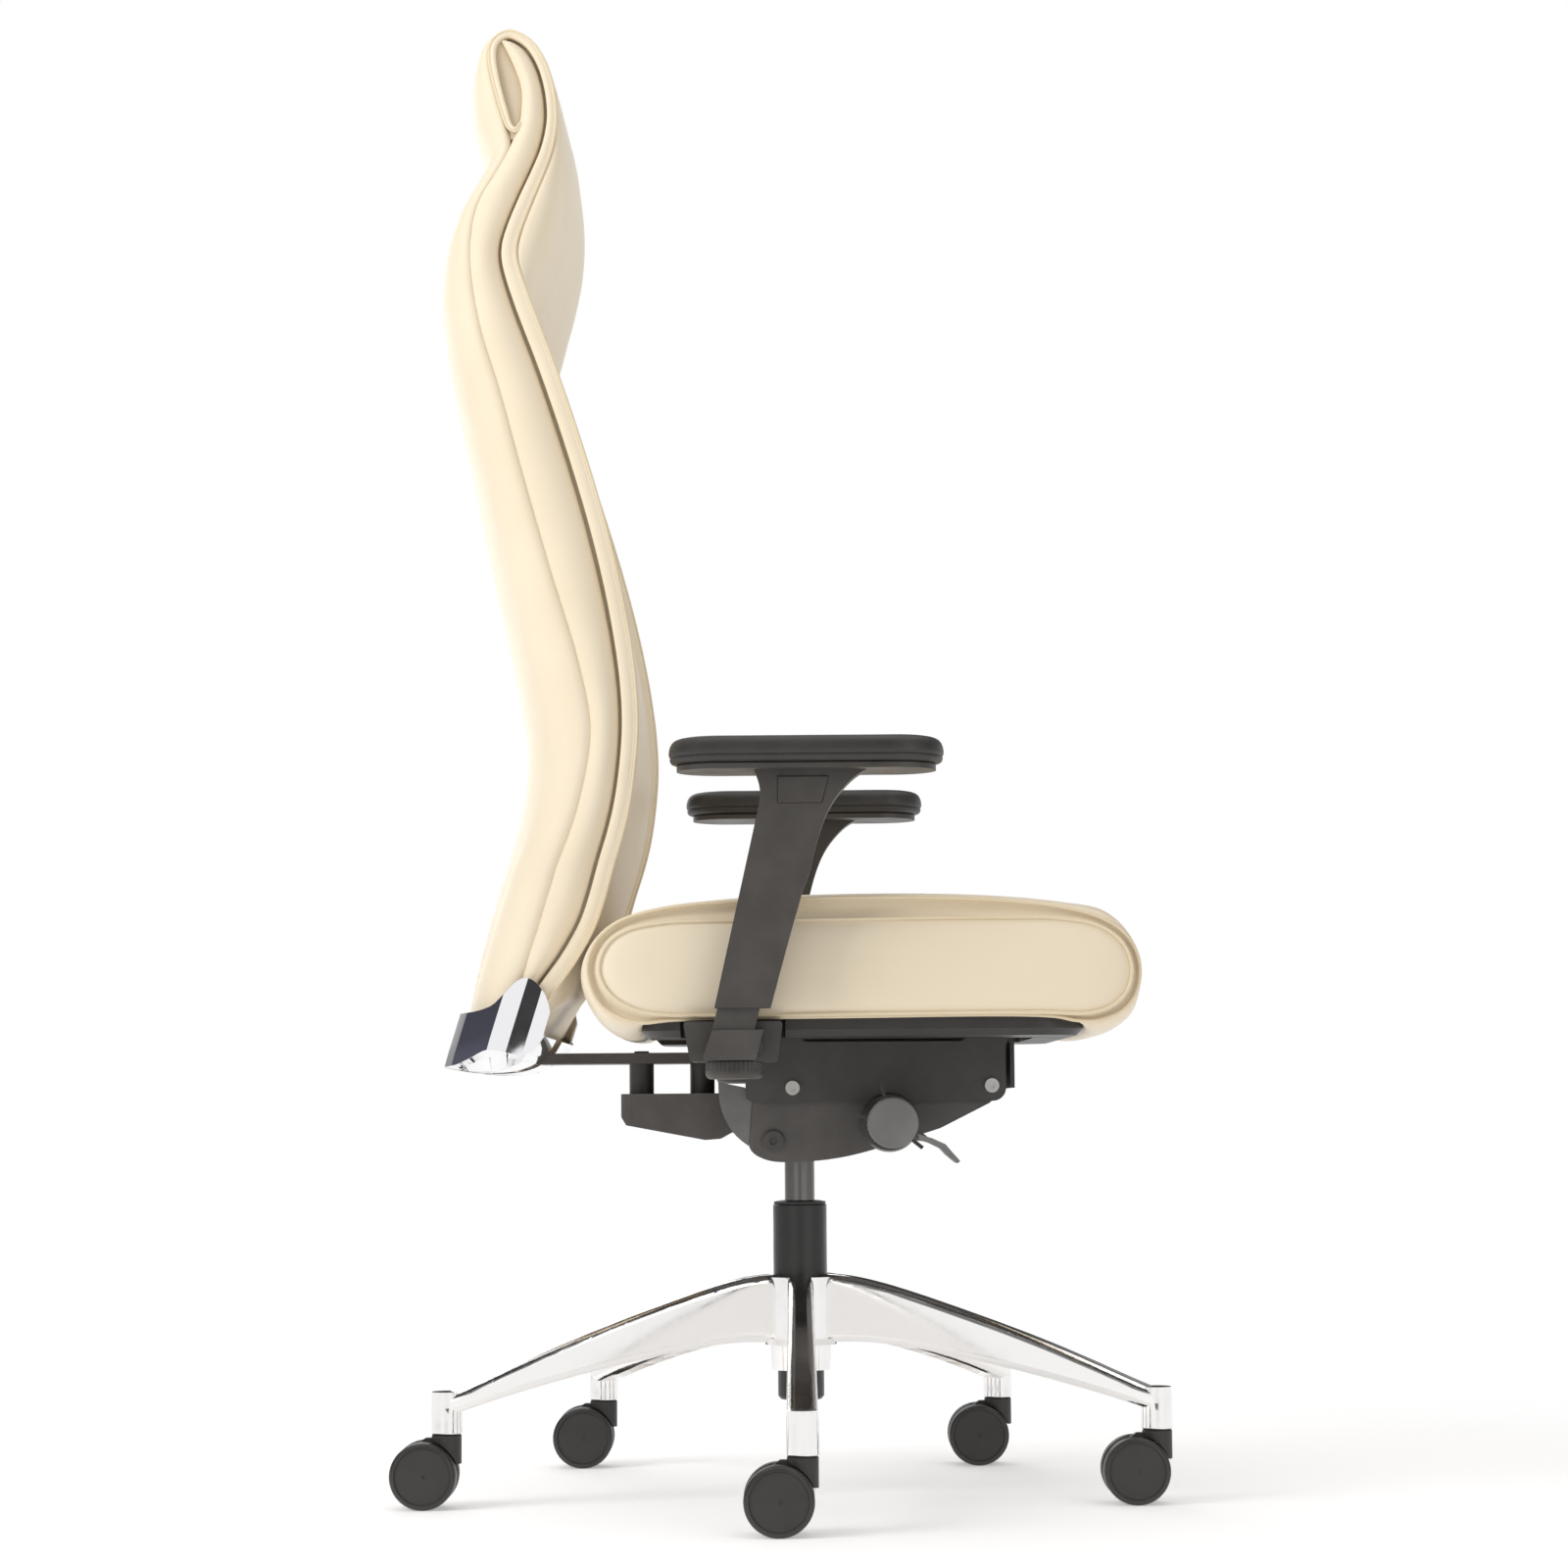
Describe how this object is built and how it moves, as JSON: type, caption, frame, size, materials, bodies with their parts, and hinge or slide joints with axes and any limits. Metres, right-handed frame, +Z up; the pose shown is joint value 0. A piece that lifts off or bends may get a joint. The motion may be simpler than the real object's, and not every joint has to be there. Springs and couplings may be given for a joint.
{
  "type": "swivel office chair",
  "caption": "High-back swivel office chair in cream leather with rolled head end, synchro tilt, adjustable arms and a polished star base on castors.",
  "frame": {"origin": "on the floor, on the vertical swivel axis of the gas column", "axes": "+Z up; the chair faces -Y; a sitter's left arm is at +X"},
  "size_m": [0.676, 0.7052, 1.343],
  "materials": {
    "aluminium_polished": "polished die casting",
    "column_black": "satin black coat",
    "cylinder_steel": "dark ground steel",
    "steel_zinc": "bright zinc plate",
    "steel_dark": "fine textured dark powder coat",
    "cast_dark": "fine textured dark powder coat on die casting",
    "plastic_dark": "fine moulded texture",
    "plastic_grey": "fine moulded texture",
    "plastic_black": "fine moulded texture",
    "wheel_black": "soft tread plastic",
    "chrome": "mirror polish",
    "guide_plastic": "smooth acetal",
    "plywood": "pressed plywood",
    "shell_plastic": "glass filled shell",
    "leather_cream": "soft cream leather with fine grain",
    "pad_soft": "soft integral skin foam"
  },
  "bodies": {
    "base": {"star_base": "aluminium_polished", "column_tube": "column_black", "column_guide": "guide_plastic", "thrust_bearing": "steel_zinc"},
    "rod": {"piston_rod": "steel_zinc"},
    "mechanism": {"gas_cylinder": "cylinder_steel", "mechanism_housing": "cast_dark", "housing_rear_cover": "plastic_grey", "pivot_shaft": "steel_dark", "tension_spring": "steel_zinc", "control_tube": "plastic_dark"},
    "tension_control": {"tension_knob": "plastic_grey"},
    "height_control": {"height_lever": "plastic_grey"},
    "lock_control": {"lock_lever": "plastic_dark"},
    "back": {"back_lever": "cast_dark", "back_bar": "steel_dark", "bar_spacers": "steel_dark", "bar_bolts": "steel_dark", "back_core": "shell_plastic", "back_cover": "leather_cream", "back_cushion": "leather_cream", "back_bracket": "chrome"},
    "carrier": {"seat_carrier": "steel_dark", "carrier_bolts": "steel_zinc"},
    "seat": {"seat_pan": "plywood", "seat_undertray": "plastic_black", "seat_cushion": "leather_cream", "arm_bracket_right": "plastic_dark", "arm_bracket_left": "plastic_dark"},
    "caster_1": {"caster_1_fork": "plastic_black", "caster_1_pins": "steel_zinc"},
    "caster_1_right": {"caster_1_wheel_right": "wheel_black"},
    "caster_1_left": {"caster_1_wheel_left": "wheel_black"},
    "caster_2": {"caster_2_fork": "plastic_black", "caster_2_pins": "steel_zinc"},
    "caster_2_right": {"caster_2_wheel_right": "wheel_black"},
    "caster_2_left": {"caster_2_wheel_left": "wheel_black"},
    "caster_3": {"caster_3_fork": "plastic_black", "caster_3_pins": "steel_zinc"},
    "caster_3_right": {"caster_3_wheel_right": "wheel_black"},
    "caster_3_left": {"caster_3_wheel_left": "wheel_black"},
    "caster_4": {"caster_4_fork": "plastic_black", "caster_4_pins": "steel_zinc"},
    "caster_4_right": {"caster_4_wheel_right": "wheel_black"},
    "caster_4_left": {"caster_4_wheel_left": "wheel_black"},
    "caster_5": {"caster_5_fork": "plastic_black", "caster_5_pins": "steel_zinc"},
    "caster_5_right": {"caster_5_wheel_right": "wheel_black"},
    "caster_5_left": {"caster_5_wheel_left": "wheel_black"},
    "arm_right": {"arm_post_right": "steel_dark"},
    "arm_top_right": {"arm_sleeve_right": "plastic_dark", "arm_pad_right": "pad_soft"},
    "arm_release_right": {"arm_button_right": "plastic_dark"},
    "arm_clamp_right": {"arm_knob_right": "plastic_dark"},
    "arm_left": {"arm_post_left": "steel_dark"},
    "arm_top_left": {"arm_sleeve_left": "plastic_dark", "arm_pad_left": "pad_soft"},
    "arm_release_left": {"arm_button_left": "plastic_dark"},
    "arm_clamp_left": {"arm_knob_left": "plastic_dark"}
  },
  "joints": [
    {"name": "caster_1_swivel", "type": "hinge", "parent": "base", "child": "caster_1", "pos_m": [-0.337, 0, 0.08], "axis": [0, 0, 1], "continuous": true},
    {"name": "caster_1_right_roll", "type": "hinge", "parent": "caster_1", "child": "caster_1_right", "pos_m": [-0.337, 0.02, 0.03], "axis": [1, 0, 0], "continuous": true},
    {"name": "caster_1_left_roll", "type": "hinge", "parent": "caster_1", "child": "caster_1_left", "pos_m": [-0.337, 0.02, 0.03], "axis": [1, 0, 0], "continuous": true},
    {"name": "caster_2_swivel", "type": "hinge", "parent": "base", "child": "caster_2", "pos_m": [-0.10414, -0.32051, 0.08], "axis": [0, 0, 1], "continuous": true},
    {"name": "caster_2_right_roll", "type": "hinge", "parent": "caster_2", "child": "caster_2_right", "pos_m": [-0.10414, -0.30051, 0.03], "axis": [1, 0, 0], "continuous": true},
    {"name": "caster_2_left_roll", "type": "hinge", "parent": "caster_2", "child": "caster_2_left", "pos_m": [-0.10414, -0.30051, 0.03], "axis": [1, 0, 0], "continuous": true},
    {"name": "caster_3_swivel", "type": "hinge", "parent": "base", "child": "caster_3", "pos_m": [0.27264, -0.19808, 0.08], "axis": [0, 0, 1], "continuous": true},
    {"name": "caster_3_right_roll", "type": "hinge", "parent": "caster_3", "child": "caster_3_right", "pos_m": [0.27264, -0.17808, 0.03], "axis": [1, 0, 0], "continuous": true},
    {"name": "caster_3_left_roll", "type": "hinge", "parent": "caster_3", "child": "caster_3_left", "pos_m": [0.27264, -0.17808, 0.03], "axis": [1, 0, 0], "continuous": true},
    {"name": "caster_4_swivel", "type": "hinge", "parent": "base", "child": "caster_4", "pos_m": [0.27264, 0.19808, 0.08], "axis": [0, 0, 1], "continuous": true},
    {"name": "caster_4_right_roll", "type": "hinge", "parent": "caster_4", "child": "caster_4_right", "pos_m": [0.27264, 0.21808, 0.03], "axis": [1, 0, 0], "continuous": true},
    {"name": "caster_4_left_roll", "type": "hinge", "parent": "caster_4", "child": "caster_4_left", "pos_m": [0.27264, 0.21808, 0.03], "axis": [1, 0, 0], "continuous": true},
    {"name": "caster_5_swivel", "type": "hinge", "parent": "base", "child": "caster_5", "pos_m": [-0.10414, 0.32051, 0.08], "axis": [0, 0, 1], "continuous": true},
    {"name": "caster_5_right_roll", "type": "hinge", "parent": "caster_5", "child": "caster_5_right", "pos_m": [-0.10414, 0.34051, 0.03], "axis": [1, 0, 0], "continuous": true},
    {"name": "caster_5_left_roll", "type": "hinge", "parent": "caster_5", "child": "caster_5_left", "pos_m": [-0.10414, 0.34051, 0.03], "axis": [1, 0, 0], "continuous": true},
    {"name": "seat_swivel", "type": "hinge", "parent": "base", "child": "rod", "pos_m": [0, 0, 0.1], "axis": [0, 0, 1], "continuous": true},
    {"name": "seat_height", "type": "slide", "parent": "rod", "child": "mechanism", "axis": [0, 0, 1], "range_m": [-0.03, 0.07]},
    {"name": "back_recline", "type": "hinge", "parent": "mechanism", "child": "back", "pos_m": [0, 0.024, 0.327], "axis": [-1, 0, 0], "range_deg": [0, 18], "stiffness_Nm_per_rad": 160, "springref_deg": -20.05},
    {"name": "seat_tilt", "type": "hinge", "parent": "mechanism", "child": "carrier", "pos_m": [0, -0.176, 0.376], "axis": [-1, 0, 0], "range_deg": [0, 5.94]},
    {"name": "seat_depth", "type": "slide", "parent": "carrier", "child": "seat", "axis": [0, -1, 0], "range_m": [0, 0.05]},
    {"name": "tension_turn", "type": "hinge", "parent": "mechanism", "child": "tension_control", "pos_m": [-0.2, -0.082, 0.343], "axis": [1, 0, 0], "continuous": true},
    {"name": "height_lever_lift", "type": "hinge", "parent": "mechanism", "child": "height_control", "pos_m": [-0.17, -0.082, 0.343], "axis": [-1, 0, 0], "range_deg": [0, 12], "stiffness_Nm_per_rad": 0.6, "springref_deg": -17.19},
    {"name": "tilt_lock_turn", "type": "hinge", "parent": "mechanism", "child": "lock_control", "pos_m": [-0.14, -0.082, 0.343], "axis": [-1, 0, 0], "range_deg": [-20, 20]},
    {"name": "arm_width_right", "type": "slide", "parent": "seat", "child": "arm_right", "axis": [-1, 0, 0], "range_m": [0, 0.024]},
    {"name": "arm_height_right", "type": "slide", "parent": "arm_right", "child": "arm_top_right", "axis": [0, -0.225, 0.9744], "range_m": [-0.012, 0.06]},
    {"name": "arm_button_right_press", "type": "slide", "parent": "arm_top_right", "child": "arm_release_right", "axis": [1, 0, 0], "range_m": [0, 0.003], "stiffness_N_per_m": 600, "springref_m": -0.003},
    {"name": "arm_clamp_right_turn", "type": "hinge", "parent": "seat", "child": "arm_clamp_right", "pos_m": [-0.243, 0.0565, 0.39], "axis": [0, 0, 1], "range_deg": [0, 270]},
    {"name": "arm_width_left", "type": "slide", "parent": "seat", "child": "arm_left", "axis": [1, 0, 0], "range_m": [0, 0.024]},
    {"name": "arm_height_left", "type": "slide", "parent": "arm_left", "child": "arm_top_left", "axis": [0, -0.225, 0.9744], "range_m": [-0.012, 0.06]},
    {"name": "arm_button_left_press", "type": "slide", "parent": "arm_top_left", "child": "arm_release_left", "axis": [-1, 0, 0], "range_m": [0, 0.003], "stiffness_N_per_m": 600, "springref_m": -0.003},
    {"name": "arm_clamp_left_turn", "type": "hinge", "parent": "seat", "child": "arm_clamp_left", "pos_m": [0.243, 0.0565, 0.39], "axis": [0, 0, 1], "range_deg": [0, 270]}
  ],
  "couplings": [
    {"joint": "seat_tilt", "follows": "back_recline", "ratio": 0.33}
  ]
}
